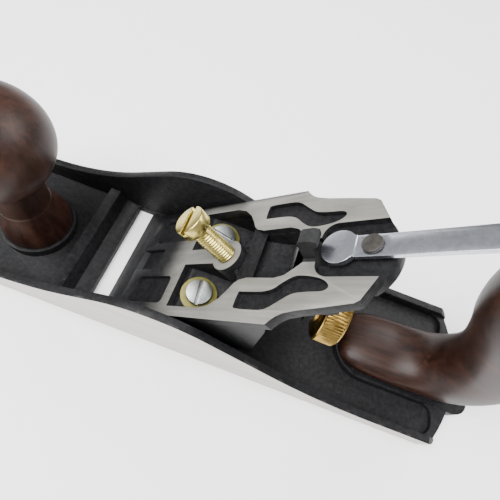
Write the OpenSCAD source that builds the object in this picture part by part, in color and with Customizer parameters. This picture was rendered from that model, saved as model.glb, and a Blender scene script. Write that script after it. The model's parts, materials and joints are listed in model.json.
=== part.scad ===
// Metal smoothing plane with its blade, cap iron and lever cap taken off.
// Millimetres. +X runs to the heel, +Y to the right cheek, +Z up.
// The origin is on the bottom of the sole, midway along it and midway across.

/* [Sole and cheeks] */
// Length of the sole
sole_len = 256; // [252:1:258]
// Width of the sole
sole_w = 63; // [62.5:0.5:64]
// Thickness of the floor over the sole
floor_t = 4; // [3.5:0.1:4.5]
// Thickness of each cheek
cheek_t = 3.1; // [2.8:0.1:3.2]
// Height of the cheeks at their peak
cheek_h = 44.3; // [43:0.1:46]
// Height of the cheeks at the toe
toe_h = 13.2; // [12:0.1:14]
// Height of the cheeks at the heel
heel_h = 10.3; // [9.5:0.1:11]

/* [Mouth and frog] */
// Place along the sole where the 45 degree bed meets its bottom face
bed_x = -41.8; // [-42.2:0.1:-41.4]
// Width of the mouth along the sole
mouth_w = 6.7; // [5:0.1:7.5]
// Width of the frog
frog_w = 52; // [51:0.5:53]
// How far the frog slides each way from its middle setting
frog_travel = 1.5; // [0.5:0.1:1.5]

/* [Adjusters] */
// Diameter of the knurled depth wheel
wheel_d = 30; // [27:0.5:30]
// Ridges round the depth wheel
wheel_ridges = 72; // [36:1:80]
// Diameter of the head of the lever cap screw
cap_head_d = 11.6; // [11:0.1:13]
// Length of the lateral lever's bar beyond its rivet
lever_bar = 46; // [40:1:54]

/* [Knob and tote] */
// Radius of the knob's head
knob_r = 22.5; // [19:0.5:23]
// Height of the knob over its seat
knob_h = 76; // [68:1:77]
// Thickness of the tote from side to side
tote_w = 28; // [24:0.5:28]

/* [Hidden] */
$fn = 64;

iron_colour = "#1c1b1b";
steel_colour = "#b8bcc2";
brass_colour = "#c9a24a";
wood_colour = "#5a2c1c";
big = 300;      // longer than anything it cuts
cut = 1;        // how far a cutter runs past the face it leaves
fit = 0.05;     // clearance of a running fit and between faces that slide
fine = 240;     // facets on the widest arcs

// Cheeks: flat toe, hollow front flank, round peak, hollow rear flank, flat heel
half_len = sole_len / 2;
half_w = sole_w / 2;
bay = half_w - cheek_t;
end_r = 60;
tongue_len = 7;     // how far the heel's tongue reaches past its bowed end
tongue_half = 15;
tongue_r = 6;
corner_r = 4;
recess_x = 112.5;   // how far the floor's recess runs to toe and heel
recess_r = 5.5;
rim_h = 6.5;
peak_x = -11;
peak_r = 42;
peak_z = cheek_h - peak_r;
front_foot = -101.5;
front_r = 100;
front_slope = 32;
rear_foot = 88;
rear_r = 103;
rear_slope = 29;

// Floor fittings
rib_top = 11;
rib_x = -63;
rib_t = 5;
mouth_x = bed_x - mouth_w;
mouth_half = 28;
foot_z = 7.5;
foot_half = 27;
pad_z = 24.5;
pad_front = -9.8;
pad_rear = 22;
pad_half = 21.5;
rod_r = 2.75;
rod_foot = 1.5;
knob_x = -85;
knob_ring_r = 16.2;
knob_ring_z = 8.5;
knob_ring_t = 1.5;
knob_seat_z = 6;
tote_pad_z = 8;
tote_pad_r = 15.6;
tote_pad_x = [78.2, 105];
tote_lip = 1.2;
tote_lip_h = 1;

// Knob, tote and their round nuts
nut_r = 6.5;
nut_t = 5;
nut_sink = 1;
nut_bore = 2;
knob_base_r = 14.6;
knob_neck_r = 10.5;
knob_neck_z = 31;
knob_cup_h = 6;
knob_head_h = 19.5;
knob_head_start = -56;
knob_top = knob_seat_z + knob_h;
knob_head_z = knob_top - knob_head_h;
knob_nut_z = knob_top - nut_sink - nut_t;
tote_foot_x = 110;  // its rod leans forward from here to the nut behind the top of the grip
tote_lean = -7;
tote_rod_foot = 3;
tote_nut_h = 117;
tote_points = [
    [68, 7.4], [64.5, 9.2], [64, 12], [66, 15.4], [71, 17.2], [79, 18.2], [87, 19], [93.5, 21.6],
    [98, 27], [99.4, 34], [98, 43], [94, 53.5], [89, 63.5], [82.8, 74.5], [78, 87], [75.5, 101],
    [78, 114], [86, 121], [98, 123.5], [110, 121.5], [118, 114], [116.5, 107], [110, 101],
    [106.5, 93], [109, 79], [117, 65], [125.5, 51], [130.5, 38], [131, 26], [125.5, 13.5], [117, 7.9],
    [92, 7.2]
];

// Frog: u runs up the bed from the sole, v across it, h square out of it
diag = sqrt(0.5);
bed_angle = 45;
frog_half = frog_w / 2;
seat_t = 4;
side_web = 3.5;
rib_half = 3.2;
frog_rear = 26;
shelf_z = 30.4;
wall_x = 11.4;
wall_t = 5;
under = 1;          // how far below the seat's face the cast ribs stop
web_inset = 0.4;    // how far the cast sides stand in from the ground edge of the seat
wing_u = 93.3;
top_u = 125;
top_r = 15;
channel_half = 9.7;
channel_u = 104.5;
channel_r = 5;
channel_d = 2.6;
slot_half = 4.4;
slot_end = 109;
well_half = 10;
inner_d = 3;        // how far the iron round the cap screw's boss lies below the seat
pocket_d = 2;
cap_u = 65.7;
cap_boss_r = 6.5;

// Frog screws, washers, and the screw that shifts the frog
screw_y = 13.3;
screw_r = 3;
screw_end = 9;
screw_head_r = 5;
screw_head_t = 3.1;
screw_x = -0.6;
screw_turn = [-12, 98];  // where the screwdriver left the slots, right side first
slot_w = 1.3;
slot_d = 1.3;
washer_r = 7.3;
washer_t = 1.55;
washer_bore = 3.3;
shifter_z = 15;
shifter_r = 3;
shifter_front = -2;
shifter_head_r = 4.6;
shifter_neck_r = 2;
shifter_collar = 1.5;
shifter_neck = [frog_rear - 0.3, frog_rear + 2];
shifter_head_t = 4.5;
plate_t = 1.6;
plate_half = 6;
plate_top = 30;
plate_screw_z = 26.9;
plate_screw_r = 1.75;
plate_screw_head_r = 3;

// Depth adjuster
stud_z = 37;
stud_r = 3;
stud_front = 16;
stud_end = 57.5;
wheel_x = [45.9, 54.8];
wheel_t = wheel_x[1] - wheel_x[0];
knurl_d = 0.7;
wheel_edge = 0.7;
groove_x = [39.4, 43.8];
groove_mid = (groove_x[0] + groove_x[1]) / 2;
groove_r = 5.5;
flange_r = 8.5;
flange_t = 1.7;
hub_end_t = 1.6;
yoke_u = 104.5;
yoke_h = -12;
pin_r = 2;
barrel_r = 4.5;
yoke_half = 9.7;
lug_t = 4;
prong_t = 2.6;
prong_in = 6;
yoke_tip_half = 2.5;
yoke_arm_half = 3.9;

// Lateral lever
rivet_u = 122;
rivet_r = 2;
rivet_head_r = 3.1;
rivet_head_t = 1.2;
lobe_u = 111.7;
lobe_r = 5.8;
lobe_top = 1.1;
lobe_step_u = 116.8;
lever_half = 3.7;
lever_t = 1.6;
lever_floor = -0.9;
lever_boss_r = 3.5;
lever_bend_u = 127;
lever_rise = 0.8;   // degrees that the bar lifts off the bed
bar_end_u = rivet_u + lever_bar;
bar_lift = (bar_end_u - lever_bend_u) * tan(lever_rise);
tab_len = 15;
tab_h = 10;

// Lever cap screw
cap_face = 22;
cap_head_t = 5;
cap_r = 3.2;
cap_end = -9;
cap_boss_end = -18;
cap_slot_w = 1.8;
cap_slot_d = 2;

function bed_point(u, h) = [bed_x + (u - h) * diag, (u + h) * diag];
// The point at height z on the line where the ribs stop under the seat
function under_seat(z) = [bed_x + z + under / diag, z];
function mirrored(points) = concat(points, [for (i = [len(points) - 1:-1:0]) [points[i].x, -points[i].y]]);

// A point on the curve that runs through b and c, with a and d as their neighbours
function curve_point(a, b, c, d, t) = 0.5 * (2 * b + (c - a) * t
    + (2 * a - 5 * b + 4 * c - d) * t * t + (3 * b - a - 3 * c + d) * t * t * t);
// A closed smooth outline through hand-chosen points
function smooth(p, steps) = let (n = len(p))
    [for (i = [0:n - 1]) for (s = [0:steps - 1])
        curve_point(p[(i + n - 1) % n], p[i], p[(i + 1) % n], p[(i + 2) % n], s / steps)];

pivot = bed_point(yoke_u, yoke_h);

// Fills its child's outline, drawn in X and Z, from y0 to y1
module side_extrude(y0, y1) translate([0, y1, 0]) rotate([90, 0, 0]) linear_extrude(y1 - y0) children();
// Puts its children on the bed: X up it, Y across it, Z square out of it
module on_bed() translate([bed_x, 0, 0]) rotate([0, -bed_angle, 0]) children();
// Fills its child's outline, drawn up and across the bed, from h0 to h1
module bed_extrude(h0, h1) on_bed() translate([0, 0, h0]) linear_extrude(h1 - h0) children();
module both_sides() { children(); mirror([0, 1, 0]) children(); }
module rod_x(x0, x1, y, z, r) translate([x0, y, z]) rotate([0, 90, 0]) cylinder(r = r, h = x1 - x0);
module rod_y(y0, y1, x, z, r) translate([x, y1, z]) rotate([90, 0, 0]) cylinder(r = r, h = y1 - y0);
module rod_z(z0, z1, x, y, r) translate([x, y, z0]) cylinder(r = r, h = z1 - z0);
module block(x, y, z) translate([x[0], y[0], z[0]]) cube([x[1] - x[0], y[1] - y[0], z[1] - z[0]]);
// A bar with two round ends, centred at x[0] and x[1]
module slot_2d(x, r) {
    for (c = x) translate([c, 0]) circle(r);
    translate([x[0], -r]) square([x[1] - x[0], 2 * r]);
}
// A rectangle with round corners
module rounded_2d(x, y, r) {
    translate([x[0] + r, y[0]]) square([x[1] - x[0] - 2 * r, y[1] - y[0]]);
    translate([x[0], y[0] + r]) square([x[1] - x[0], y[1] - y[0] - 2 * r]);
    for (cx = [x[0] + r, x[1] - r]) for (cy = [y[0] + r, y[1] - r]) translate([cx, cy]) circle(r);
}

// ---- Casting ----

module cheek_outline() difference() {
    union() {
        polygon([
            [-half_len, 0], [-half_len, toe_h], [front_foot, toe_h],
            [front_foot + front_r * sin(front_slope), toe_h + front_r * (1 - cos(front_slope))],
            [peak_x - peak_r * sin(front_slope), peak_z + peak_r * cos(front_slope)],
            [peak_x + peak_r * sin(rear_slope), peak_z + peak_r * cos(rear_slope)],
            [rear_foot - rear_r * sin(rear_slope), heel_h + rear_r * (1 - cos(rear_slope))],
            [rear_foot, heel_h], [recess_x - 2, heel_h], [recess_x + 2, rim_h + 0.5], [half_len, rim_h + 0.5],
            [half_len, 0]
        ]);
        intersection() {
            translate([peak_x, peak_z]) circle(peak_r, $fn = fine);
            translate([peak_x - peak_r, 0]) square([2 * peak_r, cheek_h + cut]);
        }
    }
    translate([front_foot, toe_h + front_r]) circle(front_r, $fn = fine);
    translate([rear_foot, heel_h + rear_r]) circle(rear_r, $fn = fine);
}

// Half of the sole's plan: a bowed end that reaches end_x, with rounded corners
module bowed_end(end_x) {
    core = half_w - corner_r;
    corner_x = end_x - end_r + sqrt(end_r * end_r - core * core);
    intersection() {
        translate([0, -core]) square([end_x + cut, 2 * core]);
        translate([end_x - end_r, 0]) circle(end_r, $fn = fine);
    }
    rounded_2d([-2 * corner_r, corner_x], [-half_w, half_w], corner_r);
}
// The heel has a tongue behind the tote
module sole_plan() {
    mirror([1, 0]) bowed_end(half_len);
    bowed_end(half_len - tongue_len);
    rounded_2d([0, half_len], [-tongue_half, tongue_half], tongue_r);
}

// Plan of the japanned floor, which parts into two bays beside the tote's pad
module floor_plan() {
    rounded_2d([-recess_x, tote_pad_x[0]], [-bay, bay], recess_r);
    for (side = [-1, 1]) {
        near = side * (tote_pad_r - cut / 2);
        rounded_2d([tote_pad_x[0] - 3 * recess_r, recess_x],
            [min(near, side * bay), max(near, side * bay)], recess_r);
    }
}

module rib() side_extrude(-bay - cut, bay + cut) polygon([
    [rib_x - 1, floor_t - cut], [rib_x, rib_top], [rib_x + rib_t, rib_top],
    [rib_x + rib_t + 3, floor_t + 1.5], [mouth_x, floor_t - 1], [mouth_x, floor_t - cut - 1]
]);

module frog_receiver() difference() {
    union() {
        side_extrude(-foot_half, foot_half) polygon([
            [bed_x + floor_t - cut, floor_t - cut], [bed_x + foot_z, foot_z],
            [pad_front + cut, foot_z], [pad_front + cut, floor_t - cut]
        ]);
        block([pad_front, pad_rear], [-pad_half, pad_half], [floor_t - cut, pad_z]);
    }
    both_sides() {
        block([screw_r + 3, pad_rear - 3], [5, pad_half - 3], [floor_t, pad_z + cut]);
        rod_z(screw_end - cut, pad_z + cut, screw_x, screw_y, screw_r + fit);
    }
    rod_x(shifter_front - frog_travel - cut, pad_rear + cut, 0, shifter_z, shifter_r + fit);
}

// Raised bed of the tote, with a low lip round the wood that is open at the heel
module tote_pad() difference() {
    translate([0, 0, floor_t - cut]) linear_extrude(tote_pad_z + tote_lip_h - floor_t + cut)
        slot_2d(tote_pad_x, tote_pad_r);
    translate([0, 0, tote_pad_z]) linear_extrude(2 * tote_lip_h)
        slot_2d([tote_pad_x[0], big], tote_pad_r - tote_lip);
}

module body_casting() color(iron_colour) difference() {
    union() {
        difference() {
            intersection() {
                side_extrude(-half_w, half_w) cheek_outline();
                linear_extrude(cheek_h + cut) sole_plan();
            }
            block([-big, big], [-bay, bay], [rim_h, big]);
            translate([0, 0, floor_t]) linear_extrude(big) floor_plan();
        }
        rib();
        frog_receiver();
        rod_z(floor_t - cut, knob_ring_z, knob_x, 0, knob_ring_r);
        tote_pad();
    }
    side_extrude(-mouth_half, mouth_half) polygon([
        [mouth_x, -cut], [mouth_x, big], [bed_x + big, big], [bed_x, 0], [bed_x, -cut]
    ]);
    rod_z(knob_seat_z, big, knob_x, 0, knob_ring_r - knob_ring_t);
    rod_z(rod_foot, knob_ring_z, knob_x, 0, rod_r);
    on_tote_axis() rod_z(tote_rod_foot - cut, big, 0, 0, rod_r);
}

// ---- Knob ----

// Half outline of the knob: foot, hollow neck, egg-shaped head
module knob_outline() polygon(concat(
    [[0, knob_seat_z], [knob_base_r - 1, knob_seat_z], [knob_base_r, knob_seat_z + 1]],
    [for (i = [0:8]) let (t = i / 8, z0 = knob_seat_z + knob_cup_h)
        [knob_neck_r + (knob_base_r - knob_neck_r) * (1 + cos(180 * t)) / 2, z0 + (knob_neck_z - z0) * t]],
    [for (i = [0:20]) let (a = knob_head_start + (90 - knob_head_start) * i / 20)
        [knob_r * cos(a), knob_head_z + knob_head_h * sin(a)]]
));

module knob() color(wood_colour) difference() {
    translate([knob_x, 0, 0]) rotate_extrude($fn = 96) knob_outline();
    rod_z(0, big, knob_x, 0, rod_r);
    rod_z(knob_nut_z, big, knob_x, 0, nut_r);
}

module knob_rod() color(steel_colour) rod_z(rod_foot, knob_nut_z + nut_bore, knob_x, 0, rod_r);

// Slotted round nut standing on z = 0, drilled up to bore_h for its rod
module barrel_nut(bore_h) difference() {
    cylinder(r = nut_r, h = nut_t);
    translate([0, 0, -cut]) cylinder(r = rod_r, h = bore_h + cut);
    translate([-nut_r - cut, -slot_w / 2, nut_t - slot_d]) cube([2 * nut_r + 2 * cut, slot_w, slot_d + cut]);
}
module knob_nut() color(brass_colour) translate([knob_x, 0, knob_nut_z]) barrel_nut(nut_bore);

// ---- Tote ----

module on_tote_axis() translate([tote_foot_x, 0, 0]) rotate([0, tote_lean, 0]) children();

module tote() color(wood_colour) difference() {
    intersection() {
        side_extrude(-tote_w, tote_w) polygon(smooth(tote_points, 4));
        translate([0, 0, tote_pad_z]) linear_extrude(big) slot_2d([tote_pad_x[0], big], tote_w / 2);
    }
    on_tote_axis() {
        rod_z(0, big, 0, 0, rod_r);
        rod_z(tote_nut_h, big, 0, 0, nut_r);
    }
}
module tote_rod() color(steel_colour) on_tote_axis() rod_z(tote_rod_foot, tote_nut_h + nut_bore, 0, 0, rod_r);
module tote_nut() color(brass_colour) on_tote_axis() translate([0, 0, tote_nut_h]) barrel_nut(nut_bore);

// ---- Frog ----

seat_side = [
    [0, frog_half], [wing_u, frog_half], [94.6, 24.6], [96.2, 23.2], [98.5, 22], [102.8, 20.9],
    [110, 19.7], [119.6, 17.9], [121.2, 16.9], [top_u, channel_half]
];
upper_pocket = [
    [78.4, 15.7], [78.2, 20.2], [79.1, 21.3], [85, 21.5], [91, 21.1], [95.5, 18.2], [99.5, 15.6],
    [104, 14.8], [109.5, 14.4], [111, 12.8], [109, 10.8], [105, 9.6], [99.5, 9.3], [95.5, 11.3],
    [92, 14], [87.5, 15.1], [79.6, 15.2]
];
// From the land at the foot, up its side and round to the well
inner_land = [[44.4, frog_half - 4], [62, frog_half - 4], [66.5, 20.8], [70.4, 17.9], [73.1, 14.3],
    [74.6, 11.9], [76.4, 10.6], [79, 10]];
opening_inner = [[75.2, 11.4], [69.4, 5.2], [58, 3.5], [44.4, 3.5]];
ramp_u = [68, 88];
ramp_top = 3.4;
ramp_fall = 6.6;

module seat_outline() polygon(mirrored(seat_side));
module well_outline() {
    polygon(mirrored([
        [70, 3.6], [76.2, 9.8], [91, well_half], [94.5, 9], [97.5, 6.6], [100, slot_half]
    ]));
    translate([96, -slot_half]) square([slot_end - 96, 2 * slot_half]);
}
module channel_outline() rounded_2d([channel_u, channel_u + 45], [-channel_half, channel_half], channel_r);

// Hollow floor of the well, from the cap screw's boss down to the hole the yoke comes through.
// Its sides end under the thin ribs that part the well from the screw openings.
module well_ramp() intersection() {
    side_extrude(-frog_half, frog_half) polygon(concat(
        [for (i = [0:8]) bed_point(ramp_u[0] + (ramp_u[1] - ramp_u[0]) * i / 8,
            -ramp_top - ramp_fall * pow(sin(90 * i / 8), 2))],
        [bed_point(ramp_u[1] - 1, -13), [wall_x + wall_t, shelf_z + 6]]
    ));
    bed_extrude(-big, 0) polygon(mirrored([[ramp_u[0] - 2, 3], [69.9, 4.4], [75.7, 10.6], [90, 10.6]]));
}

module yoke_lugs() both_sides() side_extrude(yoke_half + fit, yoke_half + lug_t) polygon([
    bed_point(72, -seat_t + 1), bed_point(112, -seat_t + 1), bed_point(111, -9),
    pivot + [5, -1], pivot + [3, -6], pivot + [-3, -6],
    [wall_x + wall_t, shelf_z + 16], [wall_x, shelf_z + 12]
]);

module frog_side_webs() both_sides() side_extrude(frog_half - side_web, frog_half - web_inset) polygon([
    under_seat(foot_z + fit), bed_point(wing_u, -under), [frog_rear, bed_point(wing_u, 0).y - 10],
    [frog_rear, pad_z + fit], [pad_front - frog_travel - 1, pad_z + fit],
    [pad_front - frog_travel - 1, foot_z + fit]
]);

// Solid under the seat: foot, step over the receiver and shelf for the washers
module frog_base() side_extrude(-frog_half + web_inset, frog_half - web_inset) polygon([
    under_seat(foot_z + fit), under_seat(shelf_z), [frog_rear, shelf_z],
    [frog_rear, pad_z + fit], [pad_front - frog_travel - 1, pad_z + fit],
    [pad_front - frog_travel - 1, foot_z + fit]
]);

module frog_hollow() side_extrude(-frog_half + side_web, frog_half - side_web) polygon([
    [-29, foot_z - cut], [-29, foot_z + 2], [pad_front - 5, 16.5], [pad_front - 5, foot_z - cut]
]);

module rear_wall() side_extrude(-frog_half + cut, frog_half - cut) polygon([
    [wall_x, shelf_z - cut], [wall_x, bed_point(0, 0).y + wall_x - bed_x - 3],
    [wall_x + wall_t, wall_x + wall_t - bed_x - 3], [wall_x + wall_t, shelf_z - cut]
]);

module centre_rib() side_extrude(-rib_half, rib_half) polygon([
    under_seat(shelf_z - cut), bed_point(cap_u, -under), [wall_x + cut, shelf_z + 12],
    [wall_x + cut, shelf_z - cut]
]);

module frog_screw_opening() intersection() {
    bed_extrude(-big, cut) polygon(concat([for (i = [0:5]) inner_land[i]], opening_inner));
    block([-big, wall_x], [-big, big], [shelf_z, big]);
}

module frog() color(iron_colour) difference() {
    union() {
        difference() {
            union() {
                intersection() {
                    bed_extrude(-seat_t, 0) seat_outline();
                    block([-big, big], [-frog_w, frog_w], [foot_z + fit, big]);
                }
                bed_extrude(-7, -channel_d) intersection() {
                    translate([top_u + 3.5 - top_r, 0]) circle(top_r);
                    translate([channel_u + 2, -12]) square([30, 24]);
                }
                frog_base();
                frog_side_webs();
            }
            frog_hollow();
            both_sides() {
                frog_screw_opening();
                bed_extrude(-inner_d, cut) polygon(concat(inner_land, [[79, 3.5], [44.4, 3.5]]));
            }
            bed_extrude(-seat_t - 4, cut) well_outline();
            bed_extrude(-channel_d, big) channel_outline();
        }
        rear_wall();
        centre_rib();
        on_bed() rod_z(cap_boss_end, 0, cap_u, 0, cap_boss_r);
        well_ramp();
        rod_x(wall_x, frog_rear + 3, 0, stud_z, stud_r + 3.5);
        on_bed() rod_z(-channel_d - cut, lever_floor - fit, rivet_u, 0, lever_boss_r);
        yoke_lugs();
    }
    both_sides() {
        bed_extrude(-pocket_d, cut) polygon(smooth(upper_pocket, 3));
        bed_extrude(-pocket_d, cut) rounded_2d([17, 39.5], [8.8, 21], 2.2);
        translate([screw_x, screw_y, pad_z - cut]) linear_extrude(shelf_z - pad_z + 2 * cut)
            slot_2d([-frog_travel, frog_travel], screw_r + 0.3);
    }
    bed_extrude(-pocket_d, cut) translate([0, -5]) square([26, 10]);
    on_bed() rod_z(cap_end - cut, big, cap_u, 0, cap_r + fit);
    rod_x(stud_front, big, 0, stud_z, stud_r);
    rod_y(-big, big, pivot.x, pivot.y, pin_r);
    rod_x(frog_rear - 5, big, 0, plate_screw_z, plate_screw_r);
    bed_extrude(-big, 0) translate([rivet_u, 0]) circle(rivet_r);
}

// ---- Screws that hold and shift the frog ----

module frog_screw(turn) difference() {
    union() {
        rod_z(screw_end - shelf_z, washer_t + cut, 0, 0, screw_r);
        rod_z(fit + washer_t, fit + washer_t + screw_head_t, 0, 0, screw_head_r);
    }
    translate([0, 0, fit + washer_t + screw_head_t - slot_d]) rotate([0, 0, turn])
        block([-2 * screw_head_r, 2 * screw_head_r], [-slot_w / 2, slot_w / 2], [0, slot_d + cut]);
}
module frog_screws() color(steel_colour) for (i = [0, 1])
    translate([screw_x, (1 - 2 * i) * screw_y, shelf_z]) frog_screw(screw_turn[i]);

module frog_washers() color(brass_colour) both_sides() translate([screw_x, screw_y, shelf_z + fit])
    difference() {
        cylinder(r = washer_r, h = washer_t);
        translate([0, 0, -cut]) cylinder(r = washer_bore, h = washer_t + 2 * cut);
    }

// Threaded shank in the receiver, neck in the fork, slotted head behind it
module frog_adjusting_screw() color(steel_colour) difference() {
    union() {
        rod_x(shifter_front, shifter_neck[0], 0, shifter_z, shifter_r);
        rod_x(shifter_neck[0] - shifter_collar, shifter_neck[0], 0, shifter_z, shifter_head_r);
        rod_x(shifter_neck[0] - cut, shifter_neck[1] + cut, 0, shifter_z, shifter_neck_r);
        rod_x(shifter_neck[1], shifter_neck[1] + shifter_head_t, 0, shifter_z, shifter_head_r);
    }
    block([shifter_neck[1] + shifter_head_t - slot_d, big], [-slot_w / 2, slot_w / 2],
        [shifter_z - 2 * shifter_head_r, shifter_z + 2 * shifter_head_r]);
}

module frog_adjusting_plate() color(iron_colour) difference() {
    block([frog_rear, frog_rear + plate_t], [-plate_half, plate_half], [shifter_z - 4, plate_top]);
    rod_x(frog_rear - cut, frog_rear + plate_t + cut, 0, shifter_z, shifter_neck_r + fit);
    block([frog_rear - cut, frog_rear + plate_t + cut], [-shifter_neck_r - fit, shifter_neck_r + fit],
        [0, shifter_z]);
    rod_x(frog_rear - cut, frog_rear + plate_t + cut, 0, plate_screw_z, plate_screw_r);
}

module frog_plate_screw() color(steel_colour) difference() {
    union() {
        rod_x(frog_rear - 4.5, frog_rear + plate_t + cut, 0, plate_screw_z, plate_screw_r);
        rod_x(frog_rear + plate_t, frog_rear + plate_t + 2, 0, plate_screw_z, plate_screw_head_r);
    }
    block([frog_rear + plate_t + 1, big], [-0.5, 0.5], [plate_screw_z - 4, plate_screw_z + 4]);
}

// ---- Lever cap screw ----

module lever_cap_screw() color(brass_colour) on_bed() translate([cap_u, 0, 0]) difference() {
    union() {
        rod_z(cap_end, cap_face - cap_head_t + cut, 0, 0, cap_r);
        rod_z(cap_face - cap_head_t, cap_face, 0, 0, cap_head_d / 2);
    }
    block([-cap_slot_w / 2, cap_slot_w / 2], [-cap_head_d, cap_head_d],
        [cap_face - cap_slot_d, cap_face + cut]);
}

// ---- Depth adjuster ----

// Blade end of the yoke, up through the slot in the seat
module yoke_arm() side_extrude(-yoke_arm_half, yoke_arm_half) polygon([
    bed_point(yoke_u - 5.5, yoke_h), bed_point(yoke_u - 5.4, -1), bed_point(yoke_u - 0.8, -1),
    bed_point(yoke_u - 0.4, -5), bed_point(yoke_u + 3, yoke_h)
]);
module yoke_tip() side_extrude(-yoke_tip_half, yoke_tip_half) polygon([
    bed_point(yoke_u - 5.4, -2), bed_point(yoke_u - 3.6, 6.6), bed_point(yoke_u - 2.4, 7.6),
    bed_point(yoke_u + 1.6, 7.8), bed_point(yoke_u + 3.2, 6.8), bed_point(yoke_u + 2.6, 4.6),
    bed_point(yoke_u - 0.8, 2.6), bed_point(yoke_u - 0.8, -2)
]);
module yoke_prongs() both_sides() side_extrude(prong_in, yoke_half) polygon([
    pivot + [-3.5, 0], pivot + [3.5, 0], [groove_mid + prong_t / 2, stud_z + 10],
    [groove_mid + prong_t / 2, stud_z - 2], [groove_mid + prong_t / 4, stud_z - 3],
    [groove_mid - prong_t / 4, stud_z - 3], [groove_mid - prong_t / 2, stud_z - 2],
    [groove_mid - prong_t / 2, stud_z + 10]
]);

module yoke() color(iron_colour) difference() {
    union() {
        yoke_arm();
        yoke_tip();
        yoke_prongs();
        rod_y(-yoke_half, yoke_half, pivot.x, pivot.y, barrel_r);
    }
    rod_y(-big, big, pivot.x, pivot.y, pin_r + fit);
}

module yoke_pin() color(steel_colour)
    rod_y(-yoke_half - lug_t, yoke_half + lug_t, pivot.x, pivot.y, pin_r);

module adjusting_stud() color(steel_colour) rod_x(stud_front, stud_end, 0, stud_z, stud_r);

// Sleeve on the stud: two flanges with the yoke's groove between them, then the wheel's journal
module adjusting_nut_hub() color(brass_colour) difference() {
    union() {
        rod_x(groove_x[0] - flange_t, wheel_x[1] + fit + hub_end_t, 0, stud_z, groove_r);
        rod_x(groove_x[0] - flange_t, groove_x[0], 0, stud_z, flange_r);
        rod_x(groove_x[1], groove_x[1] + flange_t, 0, stud_z, flange_r);
        rod_x(wheel_x[1] + fit, wheel_x[1] + fit + hub_end_t, 0, stud_z, flange_r);
    }
    rod_x(0, big, 0, stud_z, stud_r + fit);
}

// Outline of the knurled rim: one ridge and one groove for each step round it
module knurl_outline() polygon([for (i = [0:2 * wheel_ridges - 1])
    let (a = 180 * i / wheel_ridges, r = wheel_d / 2 - (i % 2) * knurl_d) [r * cos(a), r * sin(a)]]);

module depth_adjusting_nut() color(brass_colour) difference() {
    translate([wheel_x[0], 0, stud_z]) rotate([0, 90, 0]) union() {
        translate([0, 0, wheel_edge]) linear_extrude(wheel_t - 2 * wheel_edge) knurl_outline();
        cylinder(r = wheel_d / 2 - knurl_d, h = wheel_t);
    }
    rod_x(wheel_x[0] - cut, wheel_x[1] + cut, 0, stud_z, groove_r + fit);
    difference() {
        rod_x(wheel_x[0] + 3, wheel_x[1] + cut, 0, stud_z, wheel_d / 2 - 3);
        rod_x(wheel_x[0], wheel_x[1] + 2 * cut, 0, stud_z, flange_r + 1);
    }
}

// ---- Lateral lever ----

module lever_lobe() bed_extrude(lever_floor, lobe_top) intersection() {
    union() {
        translate([lobe_u, 0]) circle(lobe_r);
        translate([lobe_u, -lever_half]) square([lobe_r, 2 * lever_half]);
    }
    translate([0, -lobe_r - cut]) square([lobe_step_u, 2 * lobe_r + 2 * cut]);
}
// The bar lifts off the bed from its bend, and ends in an upright thumb tab
module lever_bar() on_bed() {
    side_extrude(-lever_half, lever_half) polygon([
        [lobe_u, lever_floor], [lever_bend_u, lever_floor], [bar_end_u, lever_floor + bar_lift],
        [bar_end_u, lever_floor + bar_lift + lever_t], [lever_bend_u, lever_floor + lever_t],
        [lobe_u, lever_floor + lever_t]
    ]);
    side_extrude(-lever_t / 2, lever_t / 2) polygon([
        [bar_end_u - tab_len, lever_floor + bar_lift], [bar_end_u - cut, lever_floor + bar_lift + 1],
        [bar_end_u - cut, lever_floor + tab_h], [bar_end_u - tab_len + 4, lever_floor + tab_h]
    ]);
}
module lateral_lever() color(steel_colour) difference() {
    union() {
        lever_lobe();
        lever_bar();
    }
    bed_extrude(-big, big) translate([rivet_u, 0]) circle(rivet_r + fit);
}

module lateral_lever_rivet() color(iron_colour) on_bed() {
    rod_z(-7, lever_floor + lever_t + cut, rivet_u, 0, rivet_r);
    rod_z(lever_floor + lever_t + fit, lever_floor + lever_t + fit + rivet_head_t, rivet_u, 0, rivet_head_r);
}

body_casting();
knob();
knob_rod();
knob_nut();
tote();
tote_rod();
tote_nut();
frog();
frog_screws();
frog_washers();
frog_adjusting_screw();
frog_adjusting_plate();
frog_plate_screw();
lever_cap_screw();
yoke();
yoke_pin();
adjusting_stud();
adjusting_nut_hub();
depth_adjusting_nut();
lateral_lever();
lateral_lever_rivet();
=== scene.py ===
# Metal smoothing plane without its blade: bevelled castings, turned wood, brass and bright steel.
# Metres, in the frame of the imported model: +X to the heel, +Y to the right cheek, +Z up.

import json
import math

import bmesh
import bpy
from mathutils import Matrix, Vector


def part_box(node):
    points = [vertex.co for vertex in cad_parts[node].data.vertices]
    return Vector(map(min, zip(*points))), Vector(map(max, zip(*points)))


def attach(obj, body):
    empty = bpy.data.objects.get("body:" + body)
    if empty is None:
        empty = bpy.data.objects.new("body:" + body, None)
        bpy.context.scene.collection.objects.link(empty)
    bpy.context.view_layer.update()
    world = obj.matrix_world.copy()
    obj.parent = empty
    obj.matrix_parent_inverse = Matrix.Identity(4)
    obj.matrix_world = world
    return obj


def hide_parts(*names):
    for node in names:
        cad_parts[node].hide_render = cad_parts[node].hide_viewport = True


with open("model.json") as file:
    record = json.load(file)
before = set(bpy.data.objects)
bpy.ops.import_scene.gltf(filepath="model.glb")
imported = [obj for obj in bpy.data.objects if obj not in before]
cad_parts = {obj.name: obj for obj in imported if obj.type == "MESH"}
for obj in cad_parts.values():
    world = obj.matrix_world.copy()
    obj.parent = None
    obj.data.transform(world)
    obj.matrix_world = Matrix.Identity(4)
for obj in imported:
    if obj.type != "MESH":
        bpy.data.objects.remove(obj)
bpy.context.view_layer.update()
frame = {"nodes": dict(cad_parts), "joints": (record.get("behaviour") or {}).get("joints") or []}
MM = 0.001
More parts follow.
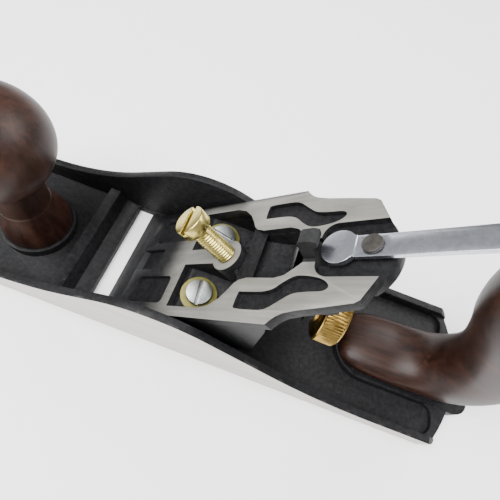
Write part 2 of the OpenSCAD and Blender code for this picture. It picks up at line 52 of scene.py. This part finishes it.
BED = math.radians(45)
UP_BED = Vector((math.cos(BED), 0, math.sin(BED)))
OFF_BED = Vector((-math.sin(BED), 0, math.cos(BED)))


# ---- Where the fixed parts are ----

def joint(name):
    return next(j for j in frame["joints"] if j["name"] == name)


CAP_FOOT = Vector(joint("cap_screw_turn")["pos_m"])  # where the cap screw meets the bed


def node_mid(name):
    low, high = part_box(name)
    return (low + high) / 2


# ---- Camera, floor and light ----

CAMERA_AT = Vector((0.0136, -0.0600, 0.1746))
CAMERA_TARGET = Vector((0.0120, 0.0087, 0.0400))
CAMERA_ROLL = math.radians(19.6)
CAMERA_LENS = 27.3
SENSOR_WIDTH = 36
FLOOR_SIDE = 3.0
SKY_STRENGTH = 0.55
LIGHT_TARGET = (0, 0, 0.03)


def make_camera():
    data = bpy.data.cameras.new("camera")
    data.lens = CAMERA_LENS
    data.sensor_width = SENSOR_WIDTH
    data.clip_start, data.clip_end = 0.005, 20
    camera = bpy.data.objects.new("camera", data)
    look = (CAMERA_TARGET - CAMERA_AT).to_track_quat("-Z", "Y").to_matrix()
    camera.matrix_world = Matrix.Translation(CAMERA_AT) @ (
        look @ Matrix.Rotation(CAMERA_ROLL, 3, "Z")
    ).to_4x4()
    bpy.context.collection.objects.link(camera)
    bpy.context.scene.camera = camera


def make_floor():
    mesh = bpy.data.meshes.new("floor")
    side = FLOOR_SIDE
    corners = [(-side, -side, 0), (side, -side, 0), (side, side, 0), (-side, side, 0)]
    mesh.from_pydata(corners, [], [(0, 1, 2, 3)])
    floor = bpy.data.objects.new("floor", mesh)
    bpy.context.collection.objects.link(floor)
    shader = Nodes("floor")
    shader.set("Base Color", (0.96, 0.96, 0.96, 1))
    shader.set("Roughness", 0.9)
    mesh.materials.append(shader.material)


def area_light(name, at, target, size, power):
    data = bpy.data.lights.new(name, "AREA")
    data.shape = "RECTANGLE"
    data.size, data.size_y = size
    data.energy = power
    light = bpy.data.objects.new(name, data)
    light.location = at
    light.rotation_euler = (Vector(target) - Vector(at)).to_track_quat("-Z", "Y").to_euler()
    bpy.context.collection.objects.link(light)


def make_lights():
    world = bpy.data.worlds.new("studio")
    world.use_nodes = True
    sky = world.node_tree.nodes["Background"].inputs
    sky["Color"].default_value = (1, 1, 1, 1)
    sky["Strength"].default_value = SKY_STRENGTH
    bpy.context.scene.world = world
    area_light("key", (-0.35, -0.25, 1.0), LIGHT_TARGET, (0.8, 0.8), 36)
    area_light("fill", (0.6, 0.55, 0.9), LIGHT_TARGET, (0.9, 0.7), 16)


# ---- Materials ----

class Nodes:
    """A principled material and short calls that add nodes to it."""

    def __init__(self, name):
        self.material = bpy.data.materials.new(name)
        self.material.use_nodes = True
        self.tree = self.material.node_tree
        self.shader = self.tree.nodes["Principled BSDF"]
        self.place = self.tree.nodes.new("ShaderNodeTexCoord").outputs["Object"]
        self.normal = self.tree.nodes.new("ShaderNodeNewGeometry").outputs["Normal"]

    def set(self, socket, value):
        self.shader.inputs[socket].default_value = value

    def link(self, value, socket):
        self.tree.links.new(value, socket)

    def drive(self, socket, value):
        self.link(value, self.shader.inputs[socket])

    def put(self, node, socket, value):
        """Sets a socket to a number, or links it to another node's output."""
        target = node.inputs[socket]
        if isinstance(value, bpy.types.NodeSocket):
            self.link(value, target)
        else:
            target.default_value = value

    def math(self, operation, *values):
        node = self.tree.nodes.new("ShaderNodeMath")
        node.operation = operation
        for i, value in enumerate(values):
            self.put(node, i, value)
        return node.outputs[0]

    def dot(self, vector, direction):
        node = self.tree.nodes.new("ShaderNodeVectorMath")
        node.operation = "DOT_PRODUCT"
        self.put(node, 0, vector)
        node.inputs[1].default_value = direction
        return node.outputs["Value"]

    def stretched(self, scale):
        node = self.tree.nodes.new("ShaderNodeMapping")
        self.link(self.place, node.inputs["Vector"])
        node.inputs["Scale"].default_value = scale
        return node.outputs[0]

    def noise(self, scale, detail=4, rough=0.55, vector=None, distortion=0.0):
        node = self.tree.nodes.new("ShaderNodeTexNoise")
        self.link(vector or self.place, node.inputs["Vector"])
        node.inputs["Scale"].default_value = scale
        node.inputs["Detail"].default_value = detail
        node.inputs["Roughness"].default_value = rough
        node.inputs["Distortion"].default_value = distortion
        return node.outputs["Fac"]

    def cells(self, scale):
        node = self.tree.nodes.new("ShaderNodeTexVoronoi")
        self.link(self.place, node.inputs["Vector"])
        node.inputs["Scale"].default_value = scale
        return node.outputs["Distance"]

    def ramp(self, value, *stops):
        node = self.tree.nodes.new("ShaderNodeValToRGB")
        self.link(value, node.inputs["Fac"])
        while len(node.color_ramp.elements) < len(stops):
            node.color_ramp.elements.new(0.5)
        for element, (at, colour) in zip(node.color_ramp.elements, stops):
            element.position = at
            element.color = (*colour, 1)
        return node.outputs["Color"]

    def step(self, value, low, high):
        """0 below low, 1 above high, smooth between."""
        node = self.tree.nodes.new("ShaderNodeMapRange")
        node.interpolation_type = "SMOOTHSTEP"
        self.link(value, node.inputs["Value"])
        node.inputs["From Min"].default_value = low
        node.inputs["From Max"].default_value = high
        return node.outputs["Result"]

    def span(self, value, low, high):
        """Turns 0 to 1 into low to high."""
        return self.math("MULTIPLY_ADD", value, high - low, low)

    def mix(self, factor, a, b):
        node = self.tree.nodes.new("ShaderNodeMix")
        node.data_type = "RGBA"
        self.link(factor, node.inputs["Factor"])
        for socket, value in (("A", a), ("B", b)):
            target = next(s for s in node.inputs if s.name == socket and s.type == "RGBA")
            if isinstance(value, bpy.types.NodeSocket):
                self.link(value, target)
            else:
                target.default_value = (*value, 1)
        return next(s for s in node.outputs if s.type == "RGBA")

    def blend(self, factor, a, b):
        """Mix of two numbers or outputs."""
        node = self.tree.nodes.new("ShaderNodeMix")
        node.data_type = "FLOAT"
        self.link(factor, node.inputs["Factor"])
        self.put(node, 2, a)
        self.put(node, 3, b)
        return node.outputs[0]

    def blend_two(self, a, b):
        """Mean of two numbers or outputs."""
        return self.math("MULTIPLY", self.math("ADD", a, b), 0.5)

    def multiplied(self, a, b, factor):
        """Colour a darkened by colour b."""
        node = self.tree.nodes.new("ShaderNodeMix")
        node.data_type = "RGBA"
        node.blend_type = "MULTIPLY"
        node.inputs["Factor"].default_value = factor
        colours = [s for s in node.inputs if s.type == "RGBA"]
        self.link(a, colours[0])
        self.link(b, colours[1])
        return next(s for s in node.outputs if s.type == "RGBA")

    def bump(self, height, distance, strength):
        node = self.tree.nodes.new("ShaderNodeBump")
        node.inputs["Distance"].default_value = distance
        node.inputs["Strength"].default_value = strength
        self.link(height, node.inputs["Height"])
        self.drive("Normal", node.outputs[0])


def japanning(m, fleck_scale):
    """Colour and height of black enamel over a sand-cast face, with pale flecks on its grains."""
    cast = m.noise(520, 8, 0.72)
    flecks = m.math("SUBTRACT", 1, m.step(m.cells(fleck_scale), 0.10, 0.22))
    bright = m.math("MULTIPLY", flecks, m.step(m.noise(130, 4, 0.7), 0.58, 0.68))
    black = m.ramp(cast, (0.35, (0.0035, 0.0035, 0.0039)), (0.75, (0.0165, 0.0165, 0.018)))
    return m.mix(m.math("MULTIPLY", bright, 0.55), black, (0.11, 0.11, 0.115)), cast


def casting_material():
    """Black japanning inside; bare ground iron on the outer cheeks, their top edges and the sole."""
    m = Nodes("japanned_casting")
    y = m.dot(m.place, (0, 1, 0))
    z = m.dot(m.place, (0, 0, 1))
    sideways = m.math("ABSOLUTE", m.dot(m.normal, (0, 1, 0)))
    out = m.math("ABSOLUTE", y)
    low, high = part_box("body_casting")
    outermost = m.step(out, high.y - 0.5 * MM, high.y - 0.2 * MM)
    side = m.math("MULTIPLY", outermost, m.step(sideways, 0.6, 0.8))
    sole = m.math("SUBTRACT", 1, m.step(z, 0.05 * MM, 0.3 * MM))
    ground = m.math("MAXIMUM", side, sole)
    lines = m.noise(900, 3, 0.6, m.stretched((0.03, 1, 1)))
    bare = m.ramp(lines, (0.3, (0.40, 0.375, 0.345)), (0.7, (0.54, 0.515, 0.475)))
    black, cast = japanning(m, 900)
    worn_edge = m.math("MULTIPLY", m.step(out, high.y - 1.2 * MM, high.y - 0.3 * MM),
                       m.step(m.noise(160, 5, 0.7), 0.50, 0.66))
    worn = m.mix(m.math("MULTIPLY", worn_edge, 0.5), black, (0.09, 0.087, 0.083))
    m.drive("Base Color", m.mix(ground, worn, bare))
    m.drive("Metallic", m.span(ground, 0.0, 0.8))
    rough = m.span(m.noise(60, 4, 0.6), 0.34, 0.58)
    m.drive("Roughness", m.blend(ground, rough, m.span(lines, 0.38, 0.52)))
    m.drive("Specular IOR Level", m.span(ground, 0.14, 0.5))
    m.bump(m.blend(ground, cast, m.math("MULTIPLY", lines, 0.06)), 0.30 * MM, 0.55)
    return m.material


def frog_material():
    """Ground seat and lands, pale; towards the foot the seat fades to black as painted shade, and everything
    below the seat and lands is japanned black.
    """
    m = Nodes("frog_iron")
    height = m.math("SUBTRACT", m.dot(m.place, OFF_BED), CAP_FOOT.dot(OFF_BED))
    up_bed = m.math("SUBTRACT", m.dot(m.place, UP_BED), CAP_FOOT.dot(UP_BED))
    facing = m.dot(m.normal, OFF_BED)
    top = m.math("MULTIPLY", m.step(height, -0.35 * MM, -0.1 * MM), m.step(facing, 0.75, 0.95))
    # Painted shade: the pale ground seat fades to black over about 19 mm towards the mouth, along a noisy
    # line.
    painted_shade_line = m.math("MULTIPLY_ADD", m.noise(70, 4, 0.6), 10 * MM, up_bed)
    ground = m.math("MULTIPLY", top, m.step(painted_shade_line, -31 * MM, -12 * MM))
    marks = m.noise(700, 3, 0.6, m.stretched((0.05, 1, 0.05)))
    wide = m.noise(55, 4, 0.6)
    shade = m.blend_two(marks, wide)
    bare = m.ramp(shade, (0.35, (0.185, 0.181, 0.162)), (0.65, (0.275, 0.270, 0.245)))
    black, cast = japanning(m, 1300)
    m.drive("Base Color", m.mix(ground, black, bare))
    m.drive("Metallic", m.span(ground, 0.0, 0.55))
    m.drive("Roughness", m.blend(ground, m.span(wide, 0.34, 0.56), m.span(marks, 0.40, 0.52)))
    m.drive("Specular IOR Level", m.span(ground, 0.14, 0.5))
    m.bump(m.blend(ground, cast, m.math("MULTIPLY", marks, 0.05)), 0.45 * MM, 0.7)
    return m.material


def wood_material(name, along):
    """Dark brown hardwood with its grain along one direction and a satin lacquer."""
    m = Nodes(name)
    squeeze = [1.0 - 0.93 * abs(a) for a in along]
    grain = m.noise(300, 6, 0.65, m.stretched(squeeze), 0.6)
    bands = m.noise(55, 3, 0.5, m.stretched(squeeze), 1.2)
    pores = m.noise(900, 2, 0.5, m.stretched([1.0 - 0.97 * abs(a) for a in along]))
    colour = m.ramp(bands, (0.25, (0.013, 0.0056, 0.004)), (0.55, (0.031, 0.0125, 0.0082)),
                    (0.8, (0.065, 0.028, 0.017)))
    dark = m.ramp(grain, (0.38, (0.35, 0.30, 0.28)), (0.6, (1, 1, 1)))
    m.drive("Base Color", m.multiplied(colour, dark, 0.8))
    m.drive("Roughness", m.span(grain, 0.34, 0.52))
    m.set("Specular IOR Level", 0.2)
    m.set("Coat Weight", 0.06)
    m.set("Coat Roughness", 0.3)
    m.bump(m.math("ADD", m.math("MULTIPLY", grain, 0.4), pores), 0.08 * MM, 0.5)
    return m.material


def metal_material(name, dark, light, rough, metallic=1.0, depth=0.03, shine=0.5):
    """Bare or plated metal: fine marks over a broad change of shade."""
    m = Nodes(name)
    marks = m.noise(600, 4, 0.6, m.stretched((1, 1, 1)))
    wide = m.noise(90, 3, 0.5)
    m.drive("Base Color", m.ramp(m.blend_two(marks, wide), (0.35, dark), (0.65, light)))
    m.set("Metallic", metallic)
    m.set("Specular IOR Level", shine)
    m.drive("Roughness", m.span(wide, rough[0], rough[1]))
    m.bump(marks, depth * MM, 0.5)
    return m.material


# ---- Pieces ----

WELD = 0.002 * MM
FLAT_WITHIN = math.radians(0.5)


def copy_of(node, name):
    """A cleaned copy of a fixed part's mesh: welded, with its flat faces whole again."""
    source = frame["nodes"][node]
    mesh = source.data.copy()
    mesh.name = name
    mesh.materials.clear()
    work = bmesh.new()
    work.from_mesh(mesh)
    bmesh.ops.remove_doubles(work, verts=work.verts, dist=WELD)
    bmesh.ops.dissolve_limit(
        work, angle_limit=FLAT_WITHIN, verts=work.verts, edges=work.edges, delimit={"NORMAL"}
    )
    work.to_mesh(mesh)
    work.free()
    piece = bpy.data.objects.new(name, mesh)
    bpy.context.collection.objects.link(piece)
    return piece


def smooth_shaded(piece):
    for face in piece.data.polygons:
        face.use_smooth = True


def refined(node, body, material, width, segments=2, angle=35):
    """Stands a bevelled copy of a fixed part in its place."""
    piece = copy_of(node, node + "_finished")
    bevel = piece.modifiers.new("edges", "BEVEL")
    bevel.width = width
    bevel.segments = segments
    bevel.limit_method = "ANGLE"
    bevel.angle_limit = math.radians(angle)
    bevel.harden_normals = True
    bevel.use_clamp_overlap = True
    smooth_shaded(piece)
    piece.data.materials.append(material)
    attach(piece, body)
    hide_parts(node)


def assign(node, material):
    piece = frame["nodes"][node]
    if not piece.data.materials:
        piece.data.materials.append(material)
    for i in range(len(piece.data.materials)):
        piece.material_slots[i].material = material


def loft(name, rings, loop=False):
    """Skin over a row of equal rings, closed by flat ends, or back on itself as a loop."""
    n = len(rings[0])
    count = len(rings)
    points = [p for ring in rings for p in ring]
    faces = []
    for a in range(count if loop else count - 1):
        b = (a + 1) % count
        for i in range(n):
            j = (i + 1) % n
            faces.append((a * n + i, a * n + j, b * n + j, b * n + i))
    if not loop:
        faces.append(tuple(range(n)))
        faces.append(tuple(range((count - 1) * n, count * n)))
    mesh = bpy.data.meshes.new(name)
    mesh.from_pydata(points, [], faces)
    work = bmesh.new()
    work.from_mesh(mesh)
    bmesh.ops.recalc_face_normals(work, faces=work.faces)
    work.to_mesh(mesh)
    work.free()
    piece = bpy.data.objects.new(name, mesh)
    bpy.context.collection.objects.link(piece)
    smooth_shaded(piece)
    return piece


def curve_value(p, q, r, w, t):
    """A value on the smooth curve from q to r, with p and w as its neighbours."""
    bend = 2 * p - 5 * q + 4 * r - w
    twist = 3 * q - p - 3 * r + w
    return 0.5 * (2 * q + (r - p) * t + bend * t * t + twist * t ** 3)


def curve_point(a, b, c, d, t):
    return tuple(curve_value(*four, t) for four in zip(a, b, c, d))


def smooth_row(rows, steps):
    """Adds steps - 1 rows on a smooth curve between each row and the next."""
    last = len(rows) - 1
    result = []
    for i in range(last):
        four = [rows[max(0, min(last, i + k))] for k in (-1, 0, 1, 2)]
        result += [curve_point(*four, s / steps) for s in range(steps)]
    return result + [rows[last]]


# ---- Knob ----

KNOB_AROUND = 96


def knob_profile(radius, height):
    """Half outline from the foot to the rim of the nut's recess: foot, hollow neck, egg-shaped head."""
    foot, neck, waist = 0.65 * radius, 0.467 * radius, 0.30 * height
    cup = 0.06 * height
    head, middle = 0.257 * height, 0.743 * height
    start = math.radians(-56)
    rows = [(foot - 1.0 * MM, 0), (foot - 0.3 * MM, 0.3 * MM), (foot, 1.0 * MM)]
    for i in range(9):
        t = i / 8
        rows.append((neck + (foot - neck) * (1 + math.cos(math.pi * t)) / 2, cup + (waist - cup) * t))
    for i in range(13):
        a = start + (math.radians(72) - start) * i / 12
        rows.append((radius * math.cos(a), middle + head * math.sin(a)))
    return rows


def make_knob(material):
    low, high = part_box("knob")
    nut_low, nut_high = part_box("knob_nut")
    rod_low, rod_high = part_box("knob_rod")
    middle = (low + high) / 2
    radius, height = (high.x - low.x) / 2, high.z - low.z
    nut_r, rod_r = (nut_high.x - nut_low.x) / 2, (rod_high.x - rod_low.x) / 2
    rows = smooth_row(knob_profile(radius, height), 3)
    rim = height - 0.3 * MM
    rows += [(nut_r + 0.9 * MM, rim), (nut_r + 0.2 * MM, rim - 0.3 * MM), (nut_r, rim - 1.0 * MM)]
    rows += [(nut_r, nut_low.z - low.z), (rod_r, nut_low.z - low.z), (rod_r, 0)]
    turn = [2 * math.pi * i / KNOB_AROUND for i in range(KNOB_AROUND)]
    rings = []
    for r, z in rows:
        rings.append([(middle.x + r * math.cos(a), middle.y + r * math.sin(a), low.z + z) for a in turn])
    piece = loft("knob_turned", rings, loop=True)
    piece.data.materials.append(material)
    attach(piece, "plane_body")
    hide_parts("knob")


# ---- Tote ----

# Across the grip from its hollow side to its outer side, in mm: x, z, x, z, half width, and how
# square the outer side is. The first rows are the toe, the last the top of the horn.
TOTE_ROWS = [
    (64.0, 11.6, 64.1, 10.2, 1.2, 2.0),
    (64.3, 13.0, 64.5, 8.6, 6.0, 2.6),
    (65.5, 14.8, 66.0, 8.0, 9.4, 3.4),
    (68.2, 16.2, 69.0, 7.9, 11.6, 4.0),
    (73.0, 17.4, 74.5, 7.9, 12.9, 4.4),
    (80.0, 18.3, 82.0, 7.9, 13.6, 4.4),
    (87.0, 19.1, 93.0, 7.9, 13.9, 4.4),
    (93.2, 21.5, 105.5, 7.9, 13.9, 4.0),
    (97.2, 25.6, 117.5, 8.4, 13.9, 3.4),
    (99.0, 30.8, 126.5, 15.2, 13.8, 2.8),
    (99.2, 37.0, 131.0, 27.5, 13.4, 2.4),
    (97.6, 44.5, 129.6, 41.5, 12.9, 2.2),
    (94.0, 53.5, 124.0, 53.5, 12.4, 2.2),
    (89.0, 63.5, 117.2, 65.0, 12.0, 2.2),
    (82.8, 74.8, 109.6, 78.5, 11.8, 2.2),
    (78.0, 87.5, 106.4, 92.0, 11.8, 2.2),
    (75.6, 101.0, 110.0, 101.2, 11.9, 2.2),
    (77.8, 113.4, 116.6, 107.6, 11.6, 2.2),
    (85.5, 120.6, 118.0, 113.2, 10.6, 2.2),
    (94.0, 123.1, 115.0, 118.6, 8.0, 2.2),
    (100.0, 123.5, 108.0, 121.9, 3.6, 2.0),
]
TOTE_STEPS = 4
TOTE_AROUND = 56
DRILL_RADIUS = 6.5 * MM
DRILL_REACH = (-2.5 * MM, 12 * MM)  # its floor and its open end, from the middle of the nut
DRILL_AROUND = 48


def tote_ring(row, floor):
    """An egg-shaped ring across the grip, flat where it stands on its bed."""
    x0, z0, x1, z1, half, square = row
    ring = []
    for i in range(TOTE_AROUND):
        a = 2 * math.pi * i / TOTE_AROUND
        power = 2 / (square if math.cos(a) < 0 else 2.2)
        along = math.copysign(abs(math.cos(a)) ** power, math.cos(a))
        across = math.copysign(abs(math.sin(a)) ** power, math.sin(a))
        t = (1 - along) / 2
        x, z = x0 + (x1 - x0) * t, z0 + (z1 - z0) * t
        ring.append((x * MM, half * across * MM, max(z * MM, floor)))
    return ring


def make_tote(material):
    low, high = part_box("tote")
    rings = [tote_ring(row, low.z) for row in smooth_row(TOTE_ROWS, TOTE_STEPS)]
    piece = loft("tote_shaped", rings)
    piece.data.materials.append(material)
    drill_for_nut(piece)
    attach(piece, "plane_body")
    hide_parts("tote")


def drill_for_nut(piece):
    """Opens the counterbore that the tote's nut sits in."""
    centre = node_mid("tote_nut")
    axis = (centre - node_mid("tote_rod")).normalized()
    side = axis.orthogonal().normalized()
    other = axis.cross(side)
    turn = [2 * math.pi * i / DRILL_AROUND for i in range(DRILL_AROUND)]
    rings = []
    for reach in DRILL_REACH:
        middle = centre + axis * reach
        rings.append([middle + (side * math.cos(a) + other * math.sin(a)) * DRILL_RADIUS for a in turn])
    cutter = loft("tote_drill", rings)
    cut = piece.modifiers.new("drill", "BOOLEAN")
    cut.operation = "DIFFERENCE"
    cut.solver = "EXACT"
    cut.object = cutter
    bpy.context.view_layer.update()
    graph = bpy.context.evaluated_depsgraph_get()
    mesh = bpy.data.meshes.new_from_object(piece.evaluated_get(graph))
    piece.modifiers.clear()
    piece.data = mesh
    bpy.data.objects.remove(cutter)


# ---- Lever cap screw ----

THREAD_PITCH = 1.15 * MM
THREAD_ROOT = 3.22 * MM
THREAD_CREST = 3.75 * MM
THREAD_SPAN = (0.2 * MM, 17.05 * MM)  # heights off the bed


def make_thread(material):
    """The helical thread round the shank, from the bed up to the head."""
    around, per_turn = 48, 8
    low, high = THREAD_SPAN
    across = UP_BED.cross(OFF_BED)
    count = int((high - low) / THREAD_PITCH * per_turn)
    rings = []
    for k in range(count + 1):
        h = low + (high - low) * k / count
        ring = []
        for i in range(around):
            a = 2 * math.pi * i / around
            phase = (h / THREAD_PITCH - i / around) % 1
            r = THREAD_ROOT + (THREAD_CREST - THREAD_ROOT) * (1 - abs(2 * phase - 1))
            ring.append(CAP_FOOT + OFF_BED * h + (UP_BED * math.cos(a) + across * math.sin(a)) * r)
        rings.append(ring)
    piece = loft("lever_cap_screw_thread", rings)
    piece.data.materials.append(material)
    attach(piece, "cap_screw")


make_camera()
make_lights()
make_floor()

CASTING = casting_material()
FROG = frog_material()
KNOB_WOOD = wood_material("knob_wood", (0, 0, 1))
TOTE_WOOD = wood_material("tote_wood", (1, 0, 0))
STEEL = metal_material("rod_steel", (0.28, 0.28, 0.28), (0.46, 0.46, 0.46), (0.3, 0.45))
ZINC = metal_material("screw_steel", (0.16, 0.17, 0.165), (0.31, 0.325, 0.32), (0.34, 0.48))
PLATE = metal_material("plate_steel", (0.12, 0.12, 0.12), (0.24, 0.24, 0.25), (0.4, 0.55))
BRASS = metal_material("nut_brass", (0.40, 0.25, 0.07), (0.66, 0.46, 0.17), (0.24, 0.38))
WASHER = metal_material("washer_brass", (0.105, 0.095, 0.022), (0.20, 0.18, 0.05), (0.5, 0.65),
                        metallic=0.5)
CAP_BRASS = metal_material("cap_screw_brass", (0.35, 0.28, 0.07), (0.64, 0.53, 0.19), (0.20, 0.32))
WHEEL_BRASS = metal_material("wheel_brass", (0.29, 0.18, 0.042), (0.54, 0.36, 0.105), (0.24, 0.38))
YOKE = metal_material("yoke_iron", (0.006, 0.006, 0.006), (0.022, 0.022, 0.023), (0.45, 0.6), metallic=0.0,
                      depth=0.15, shine=0.15)
CHROME = metal_material("lever_chrome", (0.44, 0.46, 0.51), (0.58, 0.60, 0.65), (0.22, 0.32))
RIVET = metal_material("rivet_steel", (0.022, 0.020, 0.018), (0.06, 0.055, 0.05), (0.42, 0.58), metallic=0.4,
                       shine=0.25)

refined("body_casting", "plane_body", CASTING, 0.5 * MM)
refined("frog", "frog_body", FROG, 0.3 * MM)
make_knob(KNOB_WOOD)
make_tote(TOTE_WOOD)
make_thread(CAP_BRASS)
refined("knob_nut", "plane_body", BRASS, 0.3 * MM)
refined("tote_nut", "plane_body", BRASS, 0.3 * MM)
refined("frog_screws", "plane_body", ZINC, 0.35 * MM)
refined("frog_washers", "plane_body", WASHER, 0.25 * MM)
refined("lever_cap_screw", "cap_screw", CAP_BRASS, 0.35 * MM)
refined("depth_adjusting_nut", "wheel", WHEEL_BRASS, 0.12 * MM, segments=1)
refined("adjusting_nut_hub", "nut_hub", WHEEL_BRASS, 0.3 * MM)
refined("yoke", "yoke_body", YOKE, 1.1 * MM, segments=4, angle=25)
refined("lateral_lever", "lever", CHROME, 0.45 * MM, segments=3)
refined("lateral_lever_rivet", "frog_body", RIVET, 0.3 * MM)
refined("frog_adjusting_screw", "frog_adjuster", ZINC, 0.3 * MM)
refined("frog_plate_screw", "frog_body", ZINC, 0.2 * MM)
refined("frog_adjusting_plate", "frog_body", PLATE, 0.2 * MM)
for name in ("knob_rod", "tote_rod", "yoke_pin", "adjusting_stud"):
    assign(name, STEEL)
